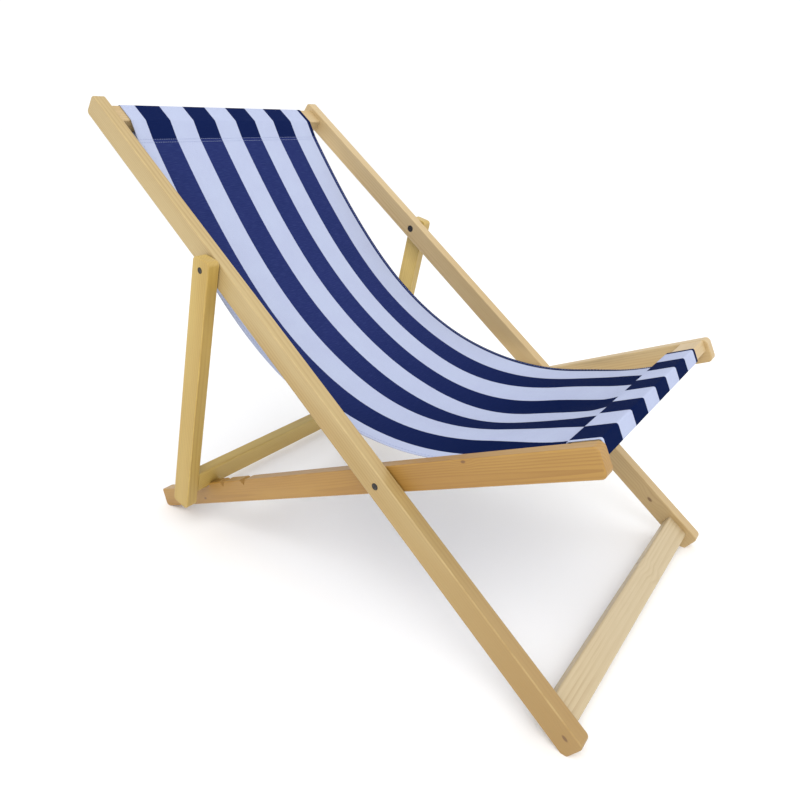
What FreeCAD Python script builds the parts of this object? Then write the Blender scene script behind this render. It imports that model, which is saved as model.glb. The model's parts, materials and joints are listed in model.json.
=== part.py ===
"""Folding sling deck chair: three hinged timber frames that carry a canvas sling.

Each frame is drawn lying along its own Y axis: Y runs along its rails, Z through their depth
and X across the chair. The back frame's origin is the seat pivot and its Y runs up the back.
The seat frame shares that origin and its Y runs to the rear feet. The prop frame's origin is
the prop pivot and its Y runs to the top of the legs.
The chair's own frame has +X on the sitter's left, -Y at the front and +Z up, with the origin
on the floor under the middle of the chair. Sizes are millimetres and degrees.
"""
import FreeCAD, Part
import math
import os
import Sketcher
from FreeCAD import Placement, Rotation, Vector

SIZES = {
    # timber
    "board_thickness": 22.0,
    "board_depth": 40.0,
    "edge_round": 2.0,
    "end_round": 8.0,
    "bar_round": 3.0,
    "frame_gap": 1.5,
    "back_frame_width": 554.0,
    # the seat pivot, from the floor and from the middle of the chair
    "pivot_height": 264.5,
    "pivot_setback": -170.25,
    # back frame
    "back_angle": 38.1,
    "back_up_length": 848.5,
    "back_foot_length": 412.0,
    "top_bar_start": 790.0,
    "top_bar_width": 42.0,
    "top_bar_low": -18.0,
    "top_bar_thickness": 28.0,
    "foot_board_start": -394.0,
    "foot_board_width": 42.0,
    "foot_board_low": -9.0,
    "foot_board_thickness": 18.0,
    # seat frame
    "seat_angle": -23.4,
    "seat_front_length": 344.0,
    "seat_rear_length": 630.5,
    "front_bar_start": -338.0,
    "front_bar_width": 40.0,
    "front_bar_low": -0.5,
    "front_bar_thickness": 20.0,
    "stretcher_distance": 606.0,
    "stretcher_diameter": 18.0,
    # prop frame
    "prop_angle": 103.3,
    "prop_pivot_distance": 435.3,
    "prop_top_length": 19.5,
    "prop_foot_length": 475.0,
    "crossbar_start": -445.0,
    "crossbar_width": 39.5,
    "crossbar_low": -2.5,
    "crossbar_thickness": 22.0,
    # notches in the top of the seat rails
    "notch_first": 347.0,
    "notch_spacing": 65.0,
    "notch_depth": 10.0,
    "notch_front_run": 7.5,
    "notch_rear_run": 13.5,
    "rest_notch": 458.1,
    "rest_depth": 6.8,
    "rest_front_run": 5.0,
    "ramp_end_depth": 3.2,
    "overcut": 5.0,
    # pivots
    "bolt_diameter": 6.0,
    "head_diameter": 10.0,
    "head_thickness": 3.0,
    "head_overlap": 1.0,
    "nut_diameter": 14.0,
    "nut_thickness": 4.0,
    "washer_diameter": 16.0,
    "washer_thickness": 1.1,
    "running_clearance": 0.08,
    "recess_clearance": 0.5,
    "face_clearance": 0.2,
    # dowels
    "dowel_diameter": 8.0,
    "dowel_spacing": 20.0,
    "dowel_rail_depth": 12.0,
    "dowel_bar_depth": 28.0,
    "glue_clearance": 0.05,
    # sling
    "sling_width": 450.0,
    "cloth_thickness": 2.0,
    "cloth_gap": 0.4,
    "sag_top_distance": 785.0,
    "sag_top_height": 0.5,
    "sag_top_handle": 408.0,
    "sag_top_slope": 56.4,
    "sag_front_handle": 465.0,
    "sag_front_slope": 30.3,
}

doc = FreeCAD.newDocument("DeckChair")
sheet = doc.addObject("Spreadsheet::Sheet", "Sizes")
for row, (alias, number) in enumerate(SIZES.items(), start=1):
    sheet.set(f"A{row}", alias)
    sheet.set(f"B{row}", str(number))
    sheet.setAlias(f"B{row}", alias)
doc.recompute()


def size(expression):
    """The number that an expression of the sheet's cells gives."""
    return float(sheet.evalExpression(expression))


X_AXIS = Vector(1, 0, 0)
Y_AXIS = Vector(0, 1, 0)
Z_AXIS = Vector(0, 0, 1)
SIDES = ("left", "right")
TINY = 1e-6
# a block that is larger than the chair's footprint, used to plane the feet level
GROUND_SPAN = 2000
GROUND_DEPTH = 100

SEAT_PIVOT = Vector(0, size("pivot_setback"), size("pivot_height"))
BACK = Placement(SEAT_PIVOT, Rotation(X_AXIS, size("back_angle")))
SEAT = Placement(SEAT_PIVOT, Rotation(X_AXIS, size("seat_angle")))
PROP_PIVOT = BACK.multVec(Vector(0, size("prop_pivot_distance"), 0))
PROP = Placement(PROP_PIVOT, Rotation(X_AXIS, size("prop_angle")))

# faces of the rails across the chair, as expressions of the sheet
BACK_OUTER = "Sizes.back_frame_width / 2"
BACK_INNER = f"({BACK_OUTER} - Sizes.board_thickness)"
SEAT_OUTER = f"({BACK_INNER} - Sizes.frame_gap)"
SEAT_INNER = f"({SEAT_OUTER} - Sizes.board_thickness)"
PROP_INNER = f"({BACK_OUTER} + Sizes.frame_gap)"
PROP_OUTER = f"({PROP_INNER} + Sizes.board_thickness)"

nodes = []


def keep(item, label, placement):
    """Name a finished sub-part and put it in its place."""
    item.Label = label
    item.Placement = placement
    nodes.append(item)
    return item


def side_plane(body):
    return next(plane for plane in body.Origin.OriginFeatures if plane.Role == "YZ_Plane")


def new_sketch(body, name, offset="0"):
    """A sketch on the body's YZ plane, moved along X by an expression."""
    sketch = body.newObject("Sketcher::SketchObject", name)
    sketch.AttachmentSupport = [(side_plane(body), "")]
    sketch.MapMode = "FlatFace"
    sketch.setExpression("AttachmentOffset.Base.z", offset)
    return sketch


def bind(sketch, constraint, expression):
    index = sketch.addConstraint(constraint)
    sketch.setExpression(f"Constraints[{index}]", expression)


def pin(sketch, kind, line, expression):
    """Hold a line's first point at a signed distance from the sketch's origin."""
    value = size(expression)
    if value >= 0:
        bind(sketch, Sketcher.Constraint(kind, -1, 1, line, 1, value), expression)
    else:
        bind(sketch, Sketcher.Constraint(kind, line, 1, -1, 1, -value), f"-({expression})")


def outline(sketch, corners):
    """A closed polygon whose corners are pairs of expressions (along Y, along Z)."""
    points = [Vector(size(y), size(z), 0) for y, z in corners]
    for start, end in zip(points, points[1:] + points[:1]):
        sketch.addGeometry(Part.LineSegment(start, end))
    for line in range(len(points)):
        sketch.addConstraint(Sketcher.Constraint("Coincident", line, 2, (line + 1) % len(points), 1))
    for line, (y, z) in enumerate(corners):
        pin(sketch, "DistanceX", line, y)
        pin(sketch, "DistanceY", line, z)


def cut(body, sketch, depth=None, towards_plus_x=True):
    """Pocket a sketch into the body, through it all if no depth is given."""
    before = body.Tip.Shape.Volume
    pocket = body.newObject("PartDesign::Pocket", f"{sketch.Name}_cut")
    pocket.Profile = sketch
    pocket.Reversed = towards_plus_x
    if depth is None:
        pocket.Type = "ThroughAll"
    else:
        pocket.setExpression("Length", depth)
    doc.recompute()
    if before - pocket.Shape.Volume < TINY:
        raise RuntimeError(f"{pocket.Name} cuts nothing")
    return pocket


def drill(body, name, y, z, diameter, x="0", depth=None, towards_plus_x=True):
    sketch = new_sketch(body, name, x)
    sketch.setExpression("AttachmentOffset.Base.x", y)
    sketch.setExpression("AttachmentOffset.Base.y", z)
    sketch.addGeometry(Part.Circle(Vector(), Z_AXIS, size(diameter) / 2))
    sketch.addConstraint(Sketcher.Constraint("Coincident", 0, 3, -1, 1))
    bind(sketch, Sketcher.Constraint("Diameter", 0, size(diameter)), diameter)
    return cut(body, sketch, depth, towards_plus_x)


def soften(body, name, chosen, radius):
    base = body.Tip
    edges = [f"Edge{i}" for i, edge in enumerate(base.Shape.Edges, start=1) if chosen(edge.BoundBox)]
    fillet = body.newObject("PartDesign::Fillet", name)
    fillet.Base = (base, edges)
    fillet.setExpression("Radius", radius)
    body.Tip = fillet
    doc.recompute()


def runs_across(box):
    return box.YLength < TINY and box.ZLength < TINY


def lies_on_a_side(box):
    return box.XLength < TINY


def timber(name, across, y_start, y_length, z_start, z_length, round_across, round_sides=None):
    """A squared timber: a rectangle in the side view, padded across the chair from X = 0.

    round_across softens the edges that run across the chair, round_sides those on its two sides.
    """
    body = doc.addObject("PartDesign::Body", f"{name}_body")
    sketch = new_sketch(body, f"{name}_outline")
    y_end = f"{y_start} + {y_length}"
    z_end = f"{z_start} + {z_length}"
    outline(sketch, [(y_start, z_start), (y_end, z_start), (y_end, z_end), (y_start, z_end)])
    pad = body.newObject("PartDesign::Pad", f"{name}_pad")
    pad.Profile = sketch
    pad.setExpression("Length", across)
    doc.recompute()
    soften(body, f"{name}_corners", runs_across, round_across)
    if round_sides:
        soften(body, f"{name}_edges", lies_on_a_side, round_sides)
    return body


def rail(name, y_start, y_length):
    half_depth = "Sizes.board_depth / 2"
    return timber(name, "Sizes.board_thickness", y_start, y_length, f"-{half_depth}", "Sizes.board_depth",
                  "Sizes.end_round", "Sizes.edge_round")


def at(frame, x):
    return frame.multiply(Placement(Vector(x, 0, 0), Rotation()))


def stand_on_floor(body, name, placement):
    """Plane a flat on the corner of a rail that meets the floor."""
    body.Placement = placement
    ground = doc.addObject("Part::Box", f"{name}_ground")
    ground.Length = GROUND_SPAN
    ground.Width = GROUND_SPAN
    ground.Height = GROUND_DEPTH
    ground.Placement.Base = Vector(-GROUND_SPAN / 2, -GROUND_SPAN / 2, -GROUND_DEPTH)
    footed = doc.addObject("Part::Cut", f"{name}_footed")
    footed.Base = body
    footed.Tool = ground
    return keep(footed, name, Placement())


# holes: (distance along the frame, height in its depth)
CLEAR_BOLT = "Sizes.bolt_diameter + 2 * Sizes.running_clearance"
DOWEL_HOLE = "Sizes.dowel_diameter + 2 * Sizes.glue_clearance"
HEAD_RECESS = "Sizes.head_diameter + 2 * Sizes.recess_clearance"
NUT_RECESS = "Sizes.nut_diameter + 2 * Sizes.recess_clearance"
HEAD_RECESS_DEPTH = "Sizes.head_thickness"
NUT_RECESS_DEPTH = "Sizes.nut_thickness + 2 * Sizes.face_clearance"
WIDE = "Sizes.board_thickness"


def bar_middle(key):
    """The middle of a bar's section, as (along the frame, in its depth)."""
    return (f"(Sizes.{key}_start + Sizes.{key}_width / 2)",
            f"(Sizes.{key}_low + Sizes.{key}_thickness / 2)")


# the bars that are doweled between two rails
TOP_BAR = bar_middle("top_bar")
FOOT_BOARD = bar_middle("foot_board")
FRONT_BAR = bar_middle("front_bar")
CROSSBAR = bar_middle("crossbar")


def dowel_holes(centre):
    """The two dowels of a bar's end, side by side across its width."""
    y, z = centre
    return [(f"{y} - Sizes.dowel_spacing / 2", z), (f"{y} + Sizes.dowel_spacing / 2", z)]


def bore_inner_face(body, name, side, centre, diameter=DOWEL_HOLE, depth="Sizes.dowel_rail_depth"):
    """Blind hole from a rail's inner face: its lower-X face on the left, the other on the right."""
    y, z = centre
    if side == "left":
        drill(body, name, y, z, diameter, depth=depth)
    else:
        drill(body, name, y, z, diameter, x=WIDE, depth=depth, towards_plus_x=False)


def bore_outer_face(body, name, side, centre, diameter, depth):
    other_side = "right" if side == "left" else "left"
    bore_inner_face(body, name, other_side, centre, diameter, depth)


def rail_x(side, inner, outer):
    """X of a rail's lower-X face."""
    return size(inner) if side == "left" else -size(outer)


def back_rail(side):
    name = f"back_rail_{side}"
    body = rail(name, "-Sizes.back_foot_length", "Sizes.back_foot_length + Sizes.back_up_length")
    drill(body, f"{name}_seat_pivot", "0", "0", CLEAR_BOLT)
    drill(body, f"{name}_prop_pivot", "Sizes.prop_pivot_distance", "0", CLEAR_BOLT)
    bore_outer_face(body, f"{name}_head_recess", side, ("0", "0"), HEAD_RECESS, HEAD_RECESS_DEPTH)
    bore_inner_face(body, f"{name}_nut_recess", side, ("Sizes.prop_pivot_distance", "0"),
                    NUT_RECESS, NUT_RECESS_DEPTH)
    for number, centre in enumerate(dowel_holes(TOP_BAR) + dowel_holes(FOOT_BOARD)):
        bore_inner_face(body, f"{name}_dowel_{number}", side, centre)
    stand_on_floor(body, name, at(BACK, rail_x(side, BACK_INNER, BACK_OUTER)))


def seat_rail(side):
    name = f"seat_rail_{side}"
    body = rail(name, "-Sizes.seat_front_length", "Sizes.seat_front_length + Sizes.seat_rear_length")
    drill(body, f"{name}_pivot", "0", "0", CLEAR_BOLT)
    bore_inner_face(body, f"{name}_nut_recess", side, ("0", "0"), NUT_RECESS, NUT_RECESS_DEPTH)
    for number, centre in enumerate(dowel_holes(FRONT_BAR)):
        bore_inner_face(body, f"{name}_dowel_{number}", side, centre)
    bore_inner_face(body, f"{name}_stretcher", side, ("Sizes.stretcher_distance", "0"),
                    "Sizes.stretcher_diameter + 2 * Sizes.glue_clearance")
    cut_notches(body, name)
    stand_on_floor(body, name, at(SEAT, rail_x(side, SEAT_INNER, SEAT_OUTER)))


def cut_notches(body, name):
    """Two free notches for a steeper back, and the notch and ramp that the crossbar rests in."""
    top = "Sizes.board_depth / 2"
    above = f"{top} + Sizes.overcut"
    front_run = "Sizes.notch_front_run * (1 + Sizes.overcut / Sizes.notch_depth)"
    for number in range(2):
        tip = f"Sizes.notch_first + {number} * Sizes.notch_spacing"
        notch = new_sketch(body, f"{name}_notch_{number}")
        outline(notch, [(f"{tip} - {front_run}", above),
                        (tip, f"{top} - Sizes.notch_depth"),
                        (f"{tip} + Sizes.notch_rear_run", above)])
        cut(body, notch)
    ramp = new_sketch(body, f"{name}_rest_notch")
    rest_run = "Sizes.rest_front_run * (1 + Sizes.overcut / Sizes.rest_depth)"
    end = "Sizes.seat_rear_length + Sizes.overcut"
    outline(ramp, [(f"Sizes.rest_notch - {rest_run}", above),
                   ("Sizes.rest_notch", f"{top} - Sizes.rest_depth"),
                   (end, f"{top} - Sizes.ramp_end_depth"),
                   (end, above)])
    cut(body, ramp)


def prop_leg(side):
    name = f"prop_leg_{side}"
    body = rail(name, "-Sizes.prop_foot_length", "Sizes.prop_foot_length + Sizes.prop_top_length")
    drill(body, f"{name}_pivot", "0", "0", CLEAR_BOLT)
    bore_outer_face(body, f"{name}_head_recess", side, ("0", "0"), HEAD_RECESS, HEAD_RECESS_DEPTH)
    for number, centre in enumerate(dowel_holes(CROSSBAR)):
        bore_inner_face(body, f"{name}_dowel_{number}", side, centre)
    keep(body, name, at(PROP, rail_x(side, PROP_INNER, PROP_OUTER)))


def bar(name, frame, rail_face, key, centre):
    """A bar between two rails, with two dowel holes in each end."""
    span = f"2 * {rail_face}"
    body = timber(name, span, f"Sizes.{key}_start", f"Sizes.{key}_width", f"Sizes.{key}_low",
                  f"Sizes.{key}_thickness", "Sizes.bar_round")
    for number, (y, z) in enumerate(dowel_holes(centre)):
        drill(body, f"{name}_near_{number}", y, z, DOWEL_HOLE, depth="Sizes.dowel_bar_depth")
        drill(body, f"{name}_far_{number}", y, z, DOWEL_HOLE, x=span, depth="Sizes.dowel_bar_depth",
              towards_plus_x=False)
    keep(body, name, at(frame, -size(rail_face)))


def cylinder(name, diameter, length, x, centre=("0", "0")):
    """A round solid whose axis lies along X, from X = x, through a centre (along Y, along Z)."""
    solid = doc.addObject("Part::Cylinder", name)
    solid.setExpression("Radius", f"({diameter}) / 2")
    solid.setExpression("Height", length)
    solid.Placement.Rotation = Rotation(Y_AXIS, 90)
    solid.setExpression("Placement.Base.x", x)
    solid.setExpression("Placement.Base.y", centre[0])
    solid.setExpression("Placement.Base.z", centre[1])
    return solid


def grouped(name, items, label, placement):
    group = doc.addObject("Part::Compound", name)
    group.Links = items
    return keep(group, label, placement)


def boolean(kind, name, base, tool, label, placement):
    result = doc.addObject(kind, name)
    result.Base = base
    result.Tool = tool
    return keep(result, label, placement)


def dowels(label, frame, joints):
    """All dowels of one frame: two in each end of each bar."""
    pins = []
    length = "Sizes.dowel_rail_depth + Sizes.dowel_bar_depth - 2 * Sizes.face_clearance"
    for rail_face, bar_centre in joints:
        starts = (f"{rail_face} - Sizes.dowel_bar_depth + Sizes.face_clearance",
                  f"-{rail_face} - Sizes.dowel_rail_depth + Sizes.face_clearance")
        for centre in dowel_holes(bar_centre):
            for start in starts:
                pins.append(cylinder(f"{label}_{len(pins)}", "Sizes.dowel_diameter", length, start, centre))
    grouped(f"{label}_group", pins, label, frame)


def pivot(key, frame, side, outer_face, gap, inner_face):
    """Bolt, washer and flush nut of one pivot, drawn on the left and turned round for the right."""
    half_turn = Placement(Vector(), Rotation(Z_AXIS, 180))
    place = frame if side == "left" else frame.multiply(half_turn)
    name = f"{key}_{side}"
    nut_start = f"{inner_face} + Sizes.face_clearance"
    head_start = f"{outer_face} - Sizes.head_thickness + Sizes.face_clearance"
    head = cylinder(f"{name}_head", "Sizes.head_diameter", "Sizes.head_thickness", head_start)
    shank_length = f"{head_start} - ({nut_start}) + Sizes.head_overlap"
    shank = cylinder(f"{name}_shank", "Sizes.bolt_diameter", shank_length, nut_start)
    boolean("Part::Fuse", f"{name}_bolt_solid", head, shank, f"{key}_bolt_{side}", place)
    bore = "Sizes.bolt_diameter + 2 * Sizes.glue_clearance"
    for part, diameter, thickness, start in (
            ("nut", "Sizes.nut_diameter", "Sizes.nut_thickness", nut_start),
            ("washer", "Sizes.washer_diameter", "Sizes.washer_thickness",
             f"{gap} + (Sizes.frame_gap - Sizes.washer_thickness) / 2")):
        disc = cylinder(f"{name}_{part}_disc", diameter, thickness, start)
        hole = cylinder(f"{name}_{part}_hole", bore, thickness, start)
        boolean("Part::Cut", f"{name}_{part}_solid", disc, hole, f"{key}_{part}_{side}", place)


def stretcher():
    """Round bar that holds the rear ends of the seat rails apart, let into both."""
    reach = f"({SEAT_INNER} + Sizes.dowel_rail_depth - Sizes.face_clearance)"
    rod = cylinder("stretcher_rod", "Sizes.stretcher_diameter", f"2 * {reach}", f"-{reach}",
                   ("Sizes.stretcher_distance", "0"))
    grouped("stretcher_solid", [rod], "seat_stretcher", SEAT)


def pocket(label, frame, key):
    """Sleeve of cloth round a bar."""
    skin = "(Sizes.cloth_gap + Sizes.cloth_thickness)"
    body = timber(label, "Sizes.sling_width",
                  f"Sizes.{key}_start - {skin}", f"Sizes.{key}_width + 2 * {skin}",
                  f"Sizes.{key}_low - {skin}", f"Sizes.{key}_thickness + 2 * {skin}",
                  f"Sizes.bar_round + {skin}")
    inside = new_sketch(body, f"{label}_inside")
    y_start = f"Sizes.{key}_start - Sizes.cloth_gap"
    y_end = f"Sizes.{key}_start + Sizes.{key}_width + Sizes.cloth_gap"
    z_start = f"Sizes.{key}_low - Sizes.cloth_gap"
    z_end = f"Sizes.{key}_low + Sizes.{key}_thickness + Sizes.cloth_gap"
    outline(inside, [(y_start, z_start), (y_end, z_start), (y_end, z_end), (y_start, z_end)])
    cut(body, inside)
    keep(body, label, at(frame, -size("Sizes.sling_width") / 2))


def handle(key, direction):
    """From one end of the sag to its Bezier handle: forward (-1) or backward (1), and down."""
    angle = math.radians(size(f"Sizes.{key}_slope"))
    return Vector(0, direction * math.cos(angle), -math.sin(angle)) * size(f"Sizes.{key}_handle")


def curve(poles):
    bezier = Part.BezierCurve()
    bezier.setPoles(poles)
    return bezier.toShape()


def sling_panel():
    """The hanging cloth between the two sleeves: a cubic sag, extruded to the sling's width."""
    top = BACK.multVec(Vector(0, size("Sizes.sag_top_distance"), size("Sizes.sag_top_height")))
    sleeve = "Sizes.cloth_thickness + 2 * Sizes.cloth_gap"
    front_y = size(f"Sizes.front_bar_start + Sizes.front_bar_width + {sleeve}")
    front_z = size("Sizes.front_bar_low + Sizes.front_bar_thickness")
    front = SEAT.multVec(Vector(0, front_y, front_z))
    upper = [top, top + handle("sag_top", -1), front + handle("sag_front", 1), front]
    underside = X_AXIS.cross(front - top).normalize() * size("Sizes.cloth_thickness")
    lower = [pole + underside for pole in upper]
    ends = [Part.LineSegment(a, b).toShape() for a, b in zip(upper, lower)]
    section = Part.Face(Part.Wire([curve(upper), ends[-1], curve(lower), ends[0]]))
    width = size("Sizes.sling_width")
    panel = doc.addObject("Part::Feature", "sling_panel_solid")
    panel.Shape = section.extrude(X_AXIS * width)
    keep(panel, "sling_panel", Placement(X_AXIS * (-width / 2), Rotation()))


for side in SIDES:
    back_rail(side)
    seat_rail(side)
    prop_leg(side)
bar("top_bar", BACK, BACK_INNER, "top_bar", TOP_BAR)
bar("foot_board", BACK, BACK_INNER, "foot_board", FOOT_BOARD)
bar("seat_front_bar", SEAT, SEAT_INNER, "front_bar", FRONT_BAR)
bar("prop_crossbar", PROP, PROP_INNER, "crossbar", CROSSBAR)
stretcher()
for side in SIDES:
    pivot("seat_pivot", BACK, side, BACK_OUTER, SEAT_OUTER, SEAT_INNER)
    pivot("prop_pivot", Placement(PROP.Base, BACK.Rotation), side, PROP_OUTER, BACK_OUTER, BACK_INNER)
dowels("back_dowels", BACK, [(BACK_INNER, TOP_BAR), (BACK_INNER, FOOT_BOARD)])
dowels("seat_dowels", SEAT, [(SEAT_INNER, FRONT_BAR)])
dowels("prop_dowels", PROP, [(PROP_INNER, CROSSBAR)])
pocket("sling_top_sleeve", BACK, "top_bar")
pocket("sling_front_sleeve", SEAT, "front_bar")
sling_panel()
doc.recompute()

for item in doc.Objects:
    if "Invalid" in item.State or "Error" in item.State:
        raise RuntimeError(f"{item.Label}: {item.State}")
os.makedirs("parts", exist_ok=True)
for node in nodes:
    if node.Shape.isNull() or not node.Shape.isValid():
        raise RuntimeError(f"{node.Label}: bad shape")
    node.Shape.exportStep(f"parts/{node.Label}.step")

everything = Part.makeCompound([node.Shape for node in nodes])
print(len(nodes), "nodes", everything.BoundBox)
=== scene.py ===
import json
import math

import bpy
from mathutils import Matrix, Vector, noise


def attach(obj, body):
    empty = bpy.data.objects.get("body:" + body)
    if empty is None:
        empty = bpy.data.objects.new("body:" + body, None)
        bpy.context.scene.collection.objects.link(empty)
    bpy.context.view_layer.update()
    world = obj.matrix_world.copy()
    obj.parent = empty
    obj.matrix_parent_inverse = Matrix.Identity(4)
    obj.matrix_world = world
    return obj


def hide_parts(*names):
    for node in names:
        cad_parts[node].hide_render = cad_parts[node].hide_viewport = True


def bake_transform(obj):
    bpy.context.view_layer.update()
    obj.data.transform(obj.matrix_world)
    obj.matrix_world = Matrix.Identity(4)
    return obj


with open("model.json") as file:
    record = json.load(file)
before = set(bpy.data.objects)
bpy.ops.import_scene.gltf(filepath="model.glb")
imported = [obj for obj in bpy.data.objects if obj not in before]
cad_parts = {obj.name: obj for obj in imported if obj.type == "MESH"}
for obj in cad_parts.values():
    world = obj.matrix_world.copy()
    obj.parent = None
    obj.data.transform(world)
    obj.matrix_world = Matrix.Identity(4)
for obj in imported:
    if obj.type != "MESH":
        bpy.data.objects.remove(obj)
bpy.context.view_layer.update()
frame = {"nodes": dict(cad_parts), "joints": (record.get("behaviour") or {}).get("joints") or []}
scene = bpy.context.scene

# ---------------------------------------------------------------- the three timber frames
# slope of each frame's rails in the side view, with the chair open
BACK_ANGLE = math.radians(38.1)
SEAT_ANGLE = math.radians(-23.4)
PROP_ANGLE = math.radians(103.3)


def pivot_of(name):
    return Vector(next(j["pos_m"] for j in frame["joints"] if j["name"] == name))


def side_frame(pivot, angle):
    """Matrix of a timber frame: X across the chair, Y along its rails, Z through their depth."""
    return Matrix.Translation(pivot) @ Matrix.Rotation(angle, 4, "X")


SEAT_PIVOT = pivot_of("seat_fold")
BACK = side_frame(SEAT_PIVOT, BACK_ANGLE)
SEAT = side_frame(SEAT_PIVOT, SEAT_ANGLE)
PROP = side_frame(pivot_of("prop_swing"), PROP_ANGLE)


def local_box(node, matrix):
    """Lowest and highest corners of a CAD node, measured along a frame's own axes."""
    inverse = matrix.inverted()
    points = [inverse @ v.co for v in frame["nodes"][node].data.vertices]
    return (Vector(min(p[i] for p in points) for i in range(3)),
            Vector(max(p[i] for p in points) for i in range(3)))


# ---------------------------------------------------------------- node graph helper
NODE_SPACING = 180
# sockets of the mix node when it mixes colours; its others are for numbers and vectors
MIX_FACTOR, MIX_A, MIX_B, MIX_RESULT = 0, 6, 7, 2


class Graph:
    """Adds shader nodes from left to right, each input given as a value or as another output."""

    def __init__(self, name):
        self.material = bpy.data.materials.new(name)
        self.material.use_nodes = True
        self.tree = self.material.node_tree
        self.tree.nodes.clear()
        self.column = 0

    def place(self, kind):
        node = self.tree.nodes.new(kind)
        node.location = (NODE_SPACING * self.column, 0)
        self.column += 1
        return node

    def feed(self, socket, value):
        if isinstance(value, bpy.types.NodeSocket):
            self.tree.links.new(value, socket)
        elif socket.type == "RGBA":
            socket.default_value = (*value, 1.0)
        else:
            socket.default_value = value

    def add(self, kind, inputs=None, output=0, **settings):
        node = self.place(kind)
        for key, value in settings.items():
            setattr(node, key, value)
        for key, value in (inputs or {}).items():
            self.feed(node.inputs[key], value)
        return None if output is None else node.outputs[output]

    def object_space(self):
        return self.add("ShaderNodeTexCoord", output="Object")

    def axes(self, vector):
        return self.add("ShaderNodeSeparateXYZ", {0: vector}).node.outputs

    def vector(self, x, y, z):
        return self.add("ShaderNodeCombineXYZ", {0: x, 1: y, 2: z})

    def math(self, operation, a, b=0.0):
        return self.add("ShaderNodeMath", {0: a, 1: b}, operation=operation)

    def plus(self, a, b):
        return self.math("ADD", a, b)

    def minus(self, a, b):
        return self.math("SUBTRACT", a, b)

    def times(self, a, b):
        return self.math("MULTIPLY", a, b)

    def distance(self, a, b):
        return self.math("SQRT", self.plus(self.times(a, a), self.times(b, b)))

    def scaled(self, vector, factors):
        return self.add("ShaderNodeVectorMath", {0: vector, 1: factors}, operation="MULTIPLY")

    def smooth(self, value, low, high, out_low=0.0, out_high=1.0):
        inputs = {"Value": value, "From Min": low, "From Max": high,
                  "To Min": out_low, "To Max": out_high}
        return self.add("ShaderNodeMapRange", inputs, interpolation_type="SMOOTHSTEP")

    def mix(self, factor, a, b):
        inputs = {MIX_FACTOR: factor, MIX_A: a, MIX_B: b}
        return self.add("ShaderNodeMix", inputs, MIX_RESULT, data_type="RGBA")

    def noise(self, vector, scale, detail=3.0, roughness=0.5):
        inputs = {"Vector": vector, "Scale": scale, "Detail": detail, "Roughness": roughness}
        return self.add("ShaderNodeTexNoise", inputs)

    def finish(self, colour, roughness, height=None, bump=0.2, distance=0.001, **constants):
        """Closes the graph with a surface shader; constants are the shader's other inputs."""
        inputs = {"Base Color": colour, "Roughness": roughness}
        inputs.update({key.replace("_", " "): value for key, value in constants.items()})
        if height is not None:
            inputs["Normal"] = self.add("ShaderNodeBump", {"Height": height, "Strength": bump,
                                                           "Distance": distance})
        shader = self.add("ShaderNodeBsdfPrincipled", inputs)
        self.add("ShaderNodeOutputMaterial", {"Surface": shader}, output=None)
        return self.material


# ---------------------------------------------------------------- timber
# pale and warm tints of each kind of board
CREAM = ((0.535, 0.405, 0.215), (0.460, 0.320, 0.140))
SAND = ((0.465, 0.352, 0.165), (0.385, 0.262, 0.096))
STRAW = ((0.525, 0.385, 0.118), (0.430, 0.285, 0.066))
AMBER = ((0.405, 0.232, 0.050), (0.300, 0.150, 0.026))
BIRCH = ((0.500, 0.400, 0.240), (0.430, 0.320, 0.165))
KNOT = (0.13, 0.055, 0.018)
HEARTWOOD = (0.30, 0.165, 0.040)
LATEWOOD_SHARES = (0.72, 0.62, 0.50)
WORN_GAIN = 1.22

RINGS_PER_METRE = 260.0
# shares of a ring where its late wood starts to darken, and where it is darkest
LATE_FROM, LATE_PEAK = 0.35, 0.92
# how far the pith line lies from the middle of the board, give or take the spread
PITH_ACROSS, PITH_ACROSS_SPREAD = 0.030, 0.012
PITH_DEEP, PITH_DEEP_SPREAD = 0.022, 0.014
RING_WANDER = 0.020
# how much slower the pattern changes along a board than across it
DRIFT_STRETCH = 0.12
FIBRE_STRETCH = 0.02
KNOT_STRETCH = 0.55
SEED_STEP = 0.37
# cells per metre of each pattern across the grain
BLOTCH_SCALE = 5.5
DRIFT_SCALE = 9.0
PATCH_SCALE = 26.0
WEAR_SCALE = 38.0
FIBRE_SCALE = 900.0
# share of the half length, from the middle, where the heartwood starts
HEARTWOOD_FROM = 0.45
# how strongly each layer covers the one below
HEARTWOOD_COVER = 0.6
LATEWOOD_COVER = 0.50
FIBRE_COVER = 0.16
KNOT_COVER = 0.8
WORN_COVER = 0.40
# distance from a long edge over which the corner is rubbed
RUB_FROM, RUB_TO = 0.0004, 0.0028
LACQUER = {"Coat_Weight": 0.12, "Coat_Roughness": 0.3}


def rings_about_pith(g, across, deep, drift, seed):
    """Distance of each point from the pith line, which wanders along the board."""
    warp = g.times(g.minus(drift, 0.5), RING_WANDER)
    pith_across = PITH_ACROSS + PITH_ACROSS_SPREAD * math.sin(seed * 2.3)
    pith_deep = PITH_DEEP + PITH_DEEP_SPREAD * math.cos(seed * 1.7)
    return g.distance(g.plus(g.plus(across, pith_across), warp),
                      g.plus(g.plus(deep, pith_deep), g.times(warp, 0.7)))


def with_knots(g, radius, run, deep, knots):
    """Bends the rings round each knot, and gives the mask of the knots, or None."""
    mask = None
    for knot_run, knot_deep, size in knots:
        away = g.distance(g.times(g.minus(run, knot_run), KNOT_STRETCH),
                          g.minus(deep, knot_deep))
        radius = g.plus(radius, g.smooth(away, size, size * 5.0, size * 1.2, 0.0))
        dark = g.smooth(away, size * 0.45, size, 1.0, 0.0)
        mask = dark if mask is None else g.math("MAXIMUM", mask, dark)
    return radius, mask


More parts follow.
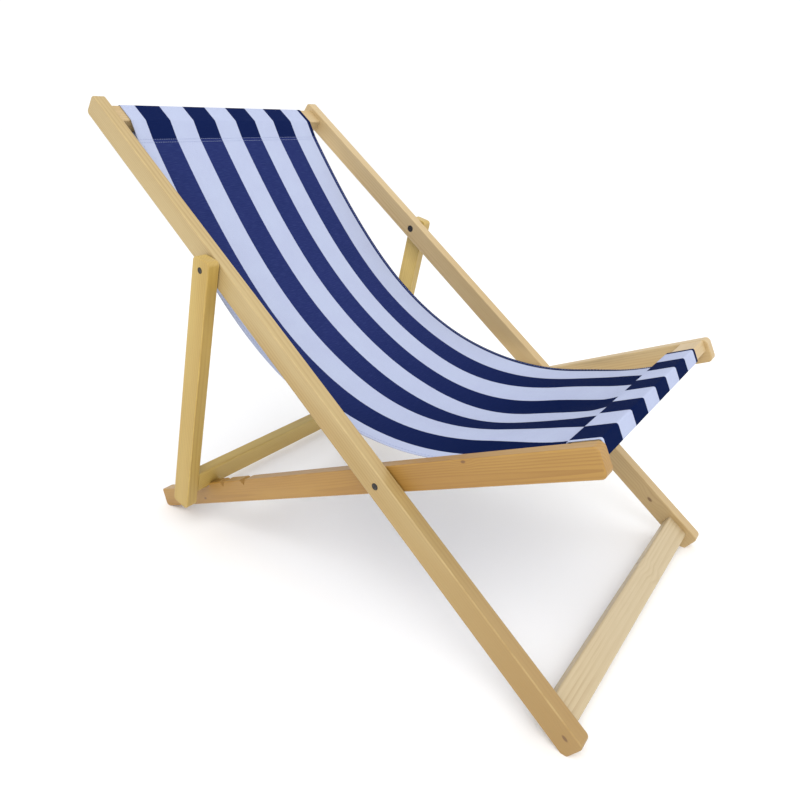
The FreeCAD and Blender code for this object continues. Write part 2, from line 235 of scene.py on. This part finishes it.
def timber_material(node, matrix, along, tints, seed, knots=(), heartwood=0.0):
    """Lacquered pine whose grain runs along one axis of the frame that the piece belongs to.

    The growth rings are cylinders about a pith line off its middle, so faces, edges and end
    grain agree. knots are (along, through the depth, radius) in metres from the board's middle,
    and heartwood is how much warmer the board is towards its low end.
    """
    pale, warm = tints
    latewood = tuple(channel * share for channel, share in zip(warm, LATEWOOD_SHARES))
    worn = tuple(min(1.0, channel * WORN_GAIN) for channel in pale)
    g = Graph(f"pine_{node}")

    # the board's own axes, measured from its middle
    low, high = local_box(node, matrix)
    centre, half = (low + high) / 2, (high - low) / 2
    unturn = matrix.to_3x3().inverted()
    local = g.add("ShaderNodeMapping", {"Vector": g.object_space(), "Rotation": unturn.to_euler(),
                                        "Location": -(unturn @ matrix.translation + centre)})
    x, y, deep = g.axes(local)
    if along == "Y":
        run, across, half_run, half_across = y, x, half.y, half.x
    else:
        run, across, half_run, half_across = x, y, half.x, half.y

    stretched = g.vector(across, g.times(run, DRIFT_STRETCH), g.plus(deep, SEED_STEP * seed))
    radius = rings_about_pith(g, across, deep, g.noise(stretched, DRIFT_SCALE, 2.0), seed)
    radius, knot_mask = with_knots(g, radius, run, deep, knots)

    # late wood darkens slowly across each ring and ends sharply
    ring = g.math("FRACT", g.times(radius, RINGS_PER_METRE))
    late = g.times(g.smooth(ring, LATE_FROM, LATE_PEAK),
                   g.smooth(ring, LATE_PEAK, 1.0, 1.0, 0.0))
    patches = g.noise(stretched, PATCH_SCALE, 3.0)
    late = g.times(late, g.smooth(patches, 0.35, 0.65, 0.25, 0.85))

    fibre_space = g.vector(across, g.times(run, FIBRE_STRETCH), deep)
    fibres = g.noise(fibre_space, FIBRE_SCALE, 3.0, 0.6)
    blotch = g.noise(stretched, BLOTCH_SCALE, 4.0, 0.55)
    deepening = g.smooth(run, -half_run, -half_run * HEARTWOOD_FROM, heartwood, 0.0)
    colour = g.mix(g.plus(g.smooth(blotch, 0.36, 0.66), deepening), pale, warm)
    colour = g.mix(g.times(deepening, HEARTWOOD_COVER), colour, HEARTWOOD)
    colour = g.mix(g.times(late, LATEWOOD_COVER), colour, latewood)
    colour = g.mix(g.smooth(fibres, 0.35, 0.7, 0.0, FIBRE_COVER), colour, latewood)
    if knot_mask is not None:
        colour = g.mix(g.times(knot_mask, KNOT_COVER), colour, KNOT)

    # softened, slightly rubbed long edges
    from_edge = g.math("MAXIMUM", g.minus(half_across, g.math("ABSOLUTE", across)),
                       g.minus(half.z, g.math("ABSOLUTE", deep)))
    rubbed = g.times(g.smooth(from_edge, RUB_FROM, RUB_TO, 1.0, 0.0),
                     g.smooth(g.noise(local, WEAR_SCALE, 4.0), 0.35, 0.75))
    colour = g.mix(g.times(rubbed, WORN_COVER), colour, worn)

    gloss = g.plus(g.smooth(patches, 0.2, 0.8, 0.42, 0.56), g.times(late, -0.06))
    height = g.plus(g.times(fibres, 0.5), g.times(late, 0.5))
    return g.finish(colour, gloss, height, bump=0.25, distance=0.0004, **LACQUER)


def dress(node, material):
    slots = frame["nodes"][node].data.materials
    slots.clear()
    slots.append(material)


TIMBERS = {
    # node: (frame, grain axis, tints, knots, heartwood)
    "back_rail_right": (BACK, "Y", SAND, ((-0.61, 0.004, 0.0035),), 1.0),
    "back_rail_left": (BACK, "Y", CREAM, ((-0.526, 0.0, 0.0040),), 0.2),
    "seat_rail_right": (SEAT, "Y", AMBER, ((-0.293, 0.0165, 0.0028), (0.34, -0.009, 0.003)), 0.0),
    "seat_rail_left": (SEAT, "Y", CREAM, ((0.22, 0.005, 0.003),), 0.0),
    "prop_leg_right": (PROP, "Y", STRAW, (), 0.0),
    "prop_leg_left": (PROP, "Y", STRAW, (), 0.0),
    "top_bar": (BACK, "X", CREAM, (), 0.0),
    "foot_board": (BACK, "X", BIRCH, ((0.09, 0.0, 0.003),), 0.0),
    "seat_front_bar": (SEAT, "X", CREAM, (), 0.0),
    "prop_crossbar": (PROP, "X", STRAW, (), 0.0),
    "seat_stretcher": (SEAT, "X", CREAM, (), 0.0),
}
for seed, (node, (matrix, along, tints, knots, heartwood)) in enumerate(TIMBERS.items()):
    dress(node, timber_material(node, matrix, along, tints, seed, knots, heartwood))


# ---------------------------------------------------------------- dowels and fasteners
def beech_material():
    g = Graph("beech")
    fibres = g.noise(g.scaled(g.object_space(), (0.05, 1.0, 1.0)), 700.0, 3.0)
    colour = g.mix(fibres, (0.52, 0.36, 0.20), (0.62, 0.45, 0.26))
    return g.finish(colour, g.smooth(fibres, 0.3, 0.7, 0.5, 0.65), fibres, distance=0.0002)


def steel_material():
    """Blackened fasteners with a few worn spots."""
    g = Graph("blackened_steel")
    wear = g.noise(g.object_space(), 420.0, 4.0, 0.6)
    colour = g.mix(g.smooth(wear, 0.52, 0.72), (0.045, 0.042, 0.040), (0.20, 0.19, 0.18))
    return g.finish(colour, g.smooth(wear, 0.3, 0.7, 0.55, 0.35), wear, distance=0.0001,
                    Metallic=0.85)


BEECH = beech_material()
STEEL = steel_material()
for node in frame["nodes"]:
    if node.endswith("_dowels"):
        dress(node, BEECH)
    if "_pivot_" in node:
        dress(node, STEEL)

# ---------------------------------------------------------------- the sling in the side view
CLOTH = 0.0010
OFF_BAR = 0.0013
LAYER = 0.0013
# top sleeve: its seam and the end of its hem, in the back frame
TOP_CORNER = 0.0055
SEAM_Y, SEAM_Z = 0.7535, -0.0048
HEM_END_Y, HEM_DROP = 0.731, 0.0085
# the hanging part, as a curve with a slope and a handle at each end
SAG_TOP_SLOPE = math.radians(56.1)
SAG_TOP_HANDLE = 0.379
SAG_FRONT_SLOPE = math.radians(25.9)
SAG_FRONT_HANDLE = 0.479
SAG_STEPS = 90
# front sleeve: the cloth leaves the bar at this height of the seat frame and this far behind it,
# and the hanging curve ends a little further back
LEAVE_Z = 0.0040
BEHIND_BAR = 0.0004
SAG_CLEAR = 0.001
FRONT_CORNER = 0.003
# the sleeve's flap behind the bar, measured from there: its top edge, its foot and its hem's tip
FLAP_TOP_Y = 0.0030
FLAP_FOOT = (0.0036, 0.0035)
FLAP_TIP = (0.0080, 0.0012)
ARC_STEPS = 6
PATH_STEP = 0.010


def flat_point(matrix, y, z):
    """A point of a frame's side view, in the chair's own side view."""
    return (matrix @ Vector((0, y, z))).yz


def rounded(points, radius):
    """A polyline whose inner corners are replaced by arcs."""
    out = [points[0]]
    for before, corner, after in zip(points, points[1:], points[2:]):
        into = (corner - before).normalized()
        away = (after - corner).normalized()
        half_turn = math.acos(max(-1.0, min(1.0, into.dot(away)))) / 2
        cut = radius * math.tan(half_turn)
        start = corner - into * cut
        end = corner + away * cut
        for i in range(ARC_STEPS + 1):
            t = i / ARC_STEPS
            out.append(start * (1 - t) ** 2 + corner * (2 * t * (1 - t)) + end * t ** 2)
    out.append(points[-1])
    return out


def bezier(poles, count):
    a, b, c, d = poles
    out = []
    for i in range(count + 1):
        t = i / count
        s = 1 - t
        out.append(a * s ** 3 + b * (3 * t * s ** 2) + c * (3 * t * t * s) + d * t ** 3)
    return out


def sleeve_box(node, matrix):
    """The cloth's centre line round a bar: low and high Y and Z."""
    low, high = local_box(node, matrix)
    return low.y - OFF_BAR, high.y + OFF_BAR, low.z - OFF_BAR, high.z + OFF_BAR


def polyline(matrix, *places):
    return [flat_point(matrix, y, z) for y, z in places]


top_y0, top_y1, top_z0, top_z1 = sleeve_box("top_bar", BACK)
front_y0, front_y1, front_z0, front_z1 = sleeve_box("seat_front_bar", SEAT)
rear_y = front_y1 + BEHIND_BAR

top_wrap = rounded(polyline(BACK, (HEM_END_Y, SEAM_Z - HEM_DROP - LAYER), (SEAM_Y, SEAM_Z - LAYER),
                            (top_y0, top_z0), (top_y1, top_z0), (top_y1, top_z1),
                            (top_y0, top_z1), (SEAM_Y, SEAM_Z)), TOP_CORNER)
sag_start = flat_point(BACK, SEAM_Y, SEAM_Z)
sag_end = flat_point(SEAT, rear_y + SAG_CLEAR, LEAVE_Z)
towards_front = Vector((-math.cos(SAG_TOP_SLOPE), -math.sin(SAG_TOP_SLOPE))) * SAG_TOP_HANDLE
towards_rear = Vector((math.cos(SAG_FRONT_SLOPE), -math.sin(SAG_FRONT_SLOPE))) * SAG_FRONT_HANDLE
sag = bezier([sag_start, sag_start + towards_front, sag_end + towards_rear, sag_end], SAG_STEPS)
front_wrap = rounded(polyline(SEAT, (rear_y, LEAVE_Z - FRONT_CORNER), (rear_y, front_z0),
                              (front_y0, front_z0), (front_y0, front_z1),
                              (rear_y + FLAP_TOP_Y, front_z1),
                              (rear_y + FLAP_FOOT[0], LEAVE_Z + FLAP_FOOT[1]),
                              (rear_y + FLAP_TIP[0], LEAVE_Z + FLAP_TIP[1])), FRONT_CORNER)


def spaced(points, spacing):
    """The same line with long runs divided."""
    out = [points[0]]
    for a, b in zip(points, points[1:]):
        pieces = max(1, math.ceil((b - a).length / spacing))
        out += [a + (b - a) * (i / pieces) for i in range(1, pieces + 1)]
    return out


PATH = spaced(top_wrap[:-1] + sag + front_wrap, PATH_STEP)
LENGTHS = [0.0]
for a, b in zip(PATH, PATH[1:]):
    LENGTHS.append(LENGTHS[-1] + (b - a).length)
FLAT_LENGTH = LENGTHS[-1]


def nearest_index(target):
    return min(range(len(PATH)), key=lambda i: (PATH[i] - target).length)


SAG_FIRST = nearest_index(sag_start)
SAG_LAST = nearest_index(sag_end)
SAG_FROM = LENGTHS[SAG_FIRST]
SAG_TO = LENGTHS[SAG_LAST]
SAG_LENGTH = SAG_TO - SAG_FROM

# ---------------------------------------------------------------- the sling's surface
# across the flat cloth: its right (-X) and left edges, and half its width
RIGHT_EDGE = -0.232
LEFT_EDGE = 0.218
HALF_WIDTH = 0.225
# Places along the hanging cloth are shares of it, from the top bar's seam (0) to the front bar (1).
# The right edge is cut back by FRONT_TRIM, from this place to the front bar
TRIM_FROM = 0.83
FRONT_TRIM = 0.0240
# the cloth is drawn in and moved across a little down to SIDES_AT, and more from TRIM_FROM on
SIDES_AT = 0.45
SIDE_PULL, SIDE_SHIFT = 0.007, 0.001
FRONT_PULL, FRONT_SLIDE = 0.0515, -0.0358
# the hollow and the fold flatten out from here to the front bar, and the ripples at both ends
FLAT_FROM = 0.93
SLACK_IN, SLACK_OUT = 0.25, 0.90
# the hollow where the cloth is sat on
DISH_DEPTH = 0.0186
DISH_PLACE = 0.737
DISH_REACH = 0.166
# how much higher than its middle the cloth's right edge leaves the front bar
TWIST = 0.0012
TWIST_FROM = 0.82
TWIST_FADE = 0.006
# one broad lengthwise fold in the seat
FOLD_FROM, FOLD_FULL = 0.60, 0.80
FOLD_HEIGHT = 0.0046
FOLD_PITCH = 0.23
FOLD_CREST = 0.11
RIPPLE = 0.0014
# across the cloth, along it, and the noise's own seed
RIPPLE_SPACE = (9.0, 5.0, 3.1)
# the last of the flap, over which its hem takes up the twist
HEM_FROM, HEM_TO = 0.009, 0.005
SEAT_UP = (SEAT.to_3x3() @ Vector((0, 0, 1))).yz


def smoothstep(low, high, value):
    t = max(0.0, min(1.0, (value - low) / (high - low)))
    return t * t * (3 - 2 * t)


def across_cloth(share, along):
    """Flat position across the cloth, from its right edge (share 0) to its left edge (share 1)."""
    trim = FRONT_TRIM * smoothstep(SAG_FROM + TRIM_FROM * SAG_LENGTH, SAG_TO, along)
    cut = RIGHT_EDGE + trim
    return cut + (LEFT_EDGE - cut) * share


def sling_point(index, flat_x):
    """Where the cloth lies: the side view's line, dished where it is sat on, with soft ripples.

    It is narrower at the front bar, where it has slid towards the right-hand rail.
    """
    y, z = PATH[index]
    before = PATH[max(0, index - 1)]
    after = PATH[min(len(PATH) - 1, index + 1)]
    ahead = (after - before).normalized()
    below = Vector((-ahead.y, ahead.x))
    along = LENGTHS[index]
    share = (along - SAG_FROM) / SAG_LENGTH
    slid = smoothstep(TRIM_FROM, 1.0, share)
    pulled_in = smoothstep(0.0, SIDES_AT, share)
    width_scale = 1 - SIDE_PULL * pulled_in - FRONT_PULL * slid
    x = flat_x * width_scale + SIDE_SHIFT * pulled_in + FRONT_SLIDE * slid
    hollow = smoothstep(1.0, FLAT_FROM, share)
    dish = DISH_DEPTH * math.exp(-((share - DISH_PLACE) / DISH_REACH) ** 2)
    dip = dish * (1 - (flat_x / HALF_WIDTH) ** 2) * hollow
    across_scale, along_scale, seed = RIPPLE_SPACE
    slack = smoothstep(0.0, SLACK_IN, share) * smoothstep(1.0, SLACK_OUT, share)
    ripple = RIPPLE * slack * noise.noise(
        Vector((flat_x * across_scale, along * along_scale, seed)))
    fold_zone = smoothstep(FOLD_FROM, FOLD_FULL, share) * hollow
    fold = -FOLD_HEIGHT * fold_zone * math.cos(2 * math.pi * (x - FOLD_CREST) / FOLD_PITCH)
    drop = dip + ripple + fold
    leaving = smoothstep(TWIST_FROM, 1.0, share) * smoothstep(SAG_TO + TWIST_FADE, SAG_TO, along)
    hemmed = smoothstep(FLAT_LENGTH - HEM_FROM, FLAT_LENGTH - HEM_TO, along)
    rise = SEAT_UP * (TWIST * -flat_x / HALF_WIDTH * max(leaving, hemmed))
    return Vector((x, y + below.x * drop + rise.x, z + below.y * drop + rise.y))


def grid_mesh(name, columns):
    """A quad sheet with one row of points for each step along the path, and UVs in flat metres."""
    mesh = bpy.data.meshes.new(name)
    rows = len(PATH)
    flat = [[across_cloth(c / columns, LENGTHS[i]) for i in range(rows)]
            for c in range(columns + 1)]
    points = [sling_point(i, flat[c][i]) for c in range(columns + 1) for i in range(rows)]
    faces = [(c * rows + i, c * rows + i + 1, (c + 1) * rows + i + 1, (c + 1) * rows + i)
             for c in range(columns) for i in range(rows - 1)]
    mesh.from_pydata(points, [], faces)
    uv = mesh.uv_layers.new(name="UVMap")
    for loop in mesh.loops:
        column, i = divmod(loop.vertex_index, rows)
        uv.data[loop.index].uv = (flat[column][i], LENGTHS[i])
    return mesh


def apply_modifiers(obj):
    bpy.context.view_layer.update()
    depsgraph = bpy.context.evaluated_depsgraph_get()
    mesh = bpy.data.meshes.new_from_object(obj.evaluated_get(depsgraph),
                                           preserve_all_data_layers=True, depsgraph=depsgraph)
    obj.modifiers.clear()
    obj.data = mesh


def add_object(name, mesh, material):
    obj = bpy.data.objects.new(name, mesh)
    scene.collection.objects.link(obj)
    mesh.materials.clear()
    mesh.materials.append(material)
    return obj


# ---------------------------------------------------------------- canvas
STRIPE = 0.0514
FIRST_NAVY = -0.203
NAVY = (0.0155, 0.0250, 0.1100)
NAVY_FADED = (0.020, 0.028, 0.125)
NAVY_PICKS = (0.045, 0.066, 0.20)
# painted shade: the darker blue laid over the sleeves and the seat
NAVY_PAINTED_SHADE = (0.0012, 0.0075, 0.0500)
WHITE = (0.435, 0.485, 0.650)
WHITE_SOILED = (0.405, 0.440, 0.615)
WHITE_SLUBS = (0.54, 0.58, 0.72)
# painted shade in the hollows of the weave, between the threads
THREAD_GAP_SHADE = (0.012, 0.016, 0.040)
THREAD_PITCH = 0.0011
# how far a stripe's edge wanders, and how soft it is as a share of a pair of stripes
STRIPE_WOBBLE = 0.0009
STRIPE_BLEED = 0.0035
# painted shade, a deeper blue: how it covers the top sleeve, where it ends there, and where it
# covers the seat
SLEEVE_SHADE_COVER, SLEEVE_SHADE_EDGE = 0.8, 0.002
SEAT_SHADE_FROM, SEAT_SHADE_SHORT = 0.35, 0.1
# uneven threads: cells per metre across and along the sling
SLUB_SCALE = (900.0, 60.0, 1.0)
PICK_SCALE = (60.0, 900.0, 1.0)


def canvas_material():
    """Plain-woven canvas. UV is in metres: U across the sling and V along it."""
    g = Graph("striped_canvas")
    uv = g.add("ShaderNodeUVMap", uv_map="UVMap")
    u, v, _ = g.axes(uv)
    wobble = g.times(g.minus(g.noise(uv, 260.0, 2.0), 0.5), STRIPE_WOBBLE)
    # two pairs of stripes are added, to keep the phase above zero
    from_first = g.plus(g.plus(g.minus(u, FIRST_NAVY), wobble), 4 * STRIPE)
    phase = g.math("FRACT", g.math("DIVIDE", from_first, 2 * STRIPE))
    navy_mask = g.times(g.smooth(phase, 0.0, STRIPE_BLEED),
                        g.smooth(phase, 0.5 - STRIPE_BLEED, 0.5 + STRIPE_BLEED, 1.0, 0.0))

    warp = g.math("SINE", g.times(u, 2 * math.pi / THREAD_PITCH))
    weft = g.math("SINE", g.times(v, 2 * math.pi / THREAD_PITCH))
    weave = g.times(warp, weft)
    slubs = g.noise(g.scaled(uv, SLUB_SCALE), 1.0, 3.0)
    picks = g.noise(g.scaled(uv, PICK_SCALE), 1.0, 3.0)
    uneven = g.plus(slubs, picks)
    fading = g.noise(uv, 14.0, 4.0, 0.55)
    faded = g.smooth(fading, 0.3, 0.7, 0.0, 0.5)

    # painted shade: both sleeves, where the cloth is doubled, and the seat get a deeper blue than
    # the open back
    top_sleeve = g.smooth(v, SAG_FROM - SLEEVE_SHADE_EDGE, SAG_FROM + SLEEVE_SHADE_EDGE, SLEEVE_SHADE_COVER, 0.0)
    seat = g.smooth(v, SAG_FROM + SEAT_SHADE_FROM * SAG_LENGTH,
                    SAG_TO - SEAT_SHADE_SHORT * SAG_LENGTH)
    white = g.mix(faded, WHITE, WHITE_SOILED)
    white = g.mix(g.smooth(uneven, 0.8, 1.3, 0.0, 0.15), white, WHITE_SLUBS)
    navy = g.mix(faded, NAVY, NAVY_FADED)
    navy = g.mix(g.smooth(picks, 0.45, 0.72, 0.0, 0.35), navy, NAVY_PICKS)
    # painted shade over the sleeves and the seat
    navy = g.mix(g.math("MAXIMUM", top_sleeve, seat), navy, NAVY_PAINTED_SHADE)
    colour = g.mix(navy_mask, white, navy)
    # painted shade where the weave dips between threads
    colour = g.mix(g.smooth(weave, -0.9, -0.2, 0.14, 0.0), colour, THREAD_GAP_SHADE)
    height = g.plus(weave, g.times(uneven, 0.8))
    return g.finish(colour, g.smooth(fading, 0.2, 0.8, 0.84, 0.95), height, bump=0.35,
                    distance=0.0004, Specular_IOR_Level=0.03)


COLUMNS = 88
sling = add_object("sling", grid_mesh("sling", COLUMNS), canvas_material())
thickness = sling.modifiers.new("thickness", "SOLIDIFY")
thickness.thickness = CLOTH
thickness.offset = 0.0
apply_modifiers(sling)
sling.data.shade_smooth()

# ---------------------------------------------------------------- stitching
STITCH = 0.0034
STITCH_GAP = 0.0014
THREAD = 0.00035
THREAD_SIDES = 6
# rings of a stitch: how far along it, share of the full thread radius, and lift off the cloth
STITCH_RINGS = ((0.0, 0.35, -0.6), (0.18, 0.9, 0.5), (0.5, 1.0, 0.8), (0.82, 0.9, 0.5),
                (1.0, 0.35, -0.6))
STITCH_LIFT = CLOTH / 2 + THREAD * 0.3
SEAM_INSET = 0.004
RIGHT_INSET = 0.006
LEFT_INSET = -0.004


def thread_material():
    g = Graph("sewing_thread")
    twist = g.noise(g.object_space(), 2500.0, 2.0)
    colour = g.mix(twist, (0.22, 0.27, 0.46), (0.34, 0.39, 0.58))
    return g.finish(colour, g.smooth(twist, 0.3, 0.7, 0.6, 0.8), twist, distance=0.0001,
                    Sheen_Weight=0.2)


THREAD_MATERIAL = thread_material()


def stitch(points, faces, start, end, up):
    """One stitch: a thread that dives into the cloth at both ends."""
    ahead = end - start
    side = ahead.cross(up).normalized()
    base = len(points)
    for t, width, lift in STITCH_RINGS:
        middle = start + ahead * t + up * (THREAD * lift)
        for k in range(THREAD_SIDES):
            angle = 2 * math.pi * k / THREAD_SIDES
            outward = side * math.cos(angle) + up * math.sin(angle)
            points.append(middle + outward * (THREAD * width))
    for ring in range(len(STITCH_RINGS) - 1):
        first = base + ring * THREAD_SIDES
        for k in range(THREAD_SIDES):
            a, b = first + k, first + (k + 1) % THREAD_SIDES
            faces.append((a, b, b + THREAD_SIDES, a + THREAD_SIDES))
    last = base + THREAD_SIDES * (len(STITCH_RINGS) - 1)
    faces.append(tuple(base + k for k in reversed(range(THREAD_SIDES))))
    faces.append(tuple(last + k for k in range(THREAD_SIDES)))


def upward(index):
    """The side of the cloth that is sat on, square to its path."""
    ahead = (PATH[index + 1] - PATH[index - 1]).normalized()
    return Vector((0, ahead.y, -ahead.x))


def stitch_row(points, faces, index):
    """A row of stitches across the sling."""
    up = upward(index)
    lift = up * STITCH_LIFT
    along = LENGTHS[index]
    first, last = across_cloth(0, along) + SEAM_INSET, across_cloth(1, along) - SEAM_INSET
    pitch = STITCH + STITCH_GAP
    for i in range(int((last - first) / pitch)):
        x = first + i * pitch
        stitch(points, faces, sling_point(index, x) + lift,
               sling_point(index, x + STITCH) + lift, up)


def edge_run(points, faces, share, inset, first, last):
    """A running stitch along one long edge of the sling."""
    pitch = STITCH + STITCH_GAP
    for index in range(first, last):
        flat = across_cloth(share, LENGTHS[index]) + inset
        up = upward(index)
        lift = up * STITCH_LIFT
        start, end = sling_point(index, flat) + lift, sling_point(index + 1, flat) + lift
        pieces = max(1, round((end - start).length / pitch))
        for k in range(pieces):
            a = start.lerp(end, k / pieces)
            b = start.lerp(end, (k + STITCH / pitch) / pieces)
            stitch(points, faces, a, b, up)


def stitching(name, points, faces):
    mesh = bpy.data.meshes.new(name)
    mesh.from_pydata(points, [], faces)
    mesh.shade_smooth()
    obj = add_object(name, mesh, THREAD_MATERIAL)
    return obj


def seam(name, rows, body):
    points, faces = [], []
    for index in rows:
        stitch_row(points, faces, index)
    obj = stitching(name, points, faces)
    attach(obj, body)
    return obj


under_row = nearest_index(flat_point(BACK, SEAM_Y, SEAM_Z - LAYER))
top_seam = seam("top_seam", [SAG_FIRST, SAG_FIRST + 1, under_row], "back_frame")
front_seam = seam("front_seam", [len(PATH) - 2], "seat_frame")
points, faces = [], []
edge_run(points, faces, 0, RIGHT_INSET, SAG_FIRST + 2, SAG_LAST - 2)
edge_run(points, faces, 1, LEFT_INSET, SAG_FIRST + 2, SAG_LAST - 2)
edge_stitching = stitching("edge_stitching", points, faces)

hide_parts("sling_panel", "sling_top_sleeve", "sling_front_sleeve")
for piece in (sling, edge_stitching):
    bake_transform(piece)


# ---------------------------------------------------------------- stage, light and camera
FLOOR_REACH = 30.0
WORLD_STRENGTH = 1.08
LIT_AT = (0, 0, 0.4)


def floor_material():
    g = Graph("studio_floor")
    cloud = g.noise(g.object_space(), 1.5, 2.0)
    colour = g.mix(cloud, (0.93, 0.93, 0.93), (0.96, 0.96, 0.96))
    return g.finish(colour, g.smooth(cloud, 0.2, 0.8, 0.8, 0.9))


floor_mesh = bpy.data.meshes.new("floor")
corners = [(x * FLOOR_REACH, y * FLOOR_REACH, 0) for x, y in ((-1, -1), (1, -1), (1, 1), (-1, 1))]
floor_mesh.from_pydata(corners, [], [(0, 1, 2, 3)])
floor = add_object("studio_floor", floor_mesh, floor_material())

world = bpy.data.worlds.new("studio")
scene.world = world
world.use_nodes = True
background = world.node_tree.nodes["Background"].inputs
background["Color"].default_value = (1.0, 1.0, 1.0, 1.0)
background["Strength"].default_value = WORLD_STRENGTH

LIGHTS = {
    # name: (place, width, power)
    "key": ((-2.2, -1.6, 3.0), 2.2, 60),
    "fill": ((2.6, -2.4, 2.2), 2.6, 16),
}


def area_light(name, place, width, power):
    light = bpy.data.lights.new(name, "AREA")
    light.shape = "SQUARE"
    light.size = width
    light.energy = power
    obj = bpy.data.objects.new(name, light)
    scene.collection.objects.link(obj)
    obj.location = place
    towards = Vector(LIT_AT) - Vector(place)
    obj.rotation_euler = towards.to_track_quat("-Z", "Y").to_euler()


for name, (place, width, power) in LIGHTS.items():
    area_light(name, place, width, power)

scene.view_settings.view_transform = "Standard"

# the camera stands at the sitter's front right; yaw is measured from +X, pitch is downward
CAMERA_OFFSET = Vector((-0.924, -0.5404, 0.5101))
CAMERA_YAW = math.radians(36.1)
CAMERA_PITCH = math.radians(15.12)
CAMERA_ROLL = math.radians(1.11)
SENSOR_WIDTH = 36.0
FOCAL_LENGTH = 29.81
SHIFT = (-0.0215, -0.1297)

forward = Vector((math.cos(CAMERA_YAW) * math.cos(CAMERA_PITCH),
                  math.sin(CAMERA_YAW) * math.cos(CAMERA_PITCH), -math.sin(CAMERA_PITCH)))
level_right = forward.cross(Vector((0, 0, 1))).normalized()
level_up = level_right.cross(forward)
right = level_right * math.cos(CAMERA_ROLL) + level_up * math.sin(CAMERA_ROLL)
up = level_up * math.cos(CAMERA_ROLL) - level_right * math.sin(CAMERA_ROLL)
camera_data = bpy.data.cameras.new("camera")
camera_data.sensor_width = SENSOR_WIDTH
camera_data.lens = FOCAL_LENGTH
camera_data.shift_x, camera_data.shift_y = SHIFT
camera = bpy.data.objects.new("camera", camera_data)
scene.collection.objects.link(camera)
turn = Matrix((right, up, -forward)).transposed()
camera.matrix_world = Matrix.Translation(SEAT_PIVOT + CAMERA_OFFSET) @ turn.to_4x4()
scene.camera = camera
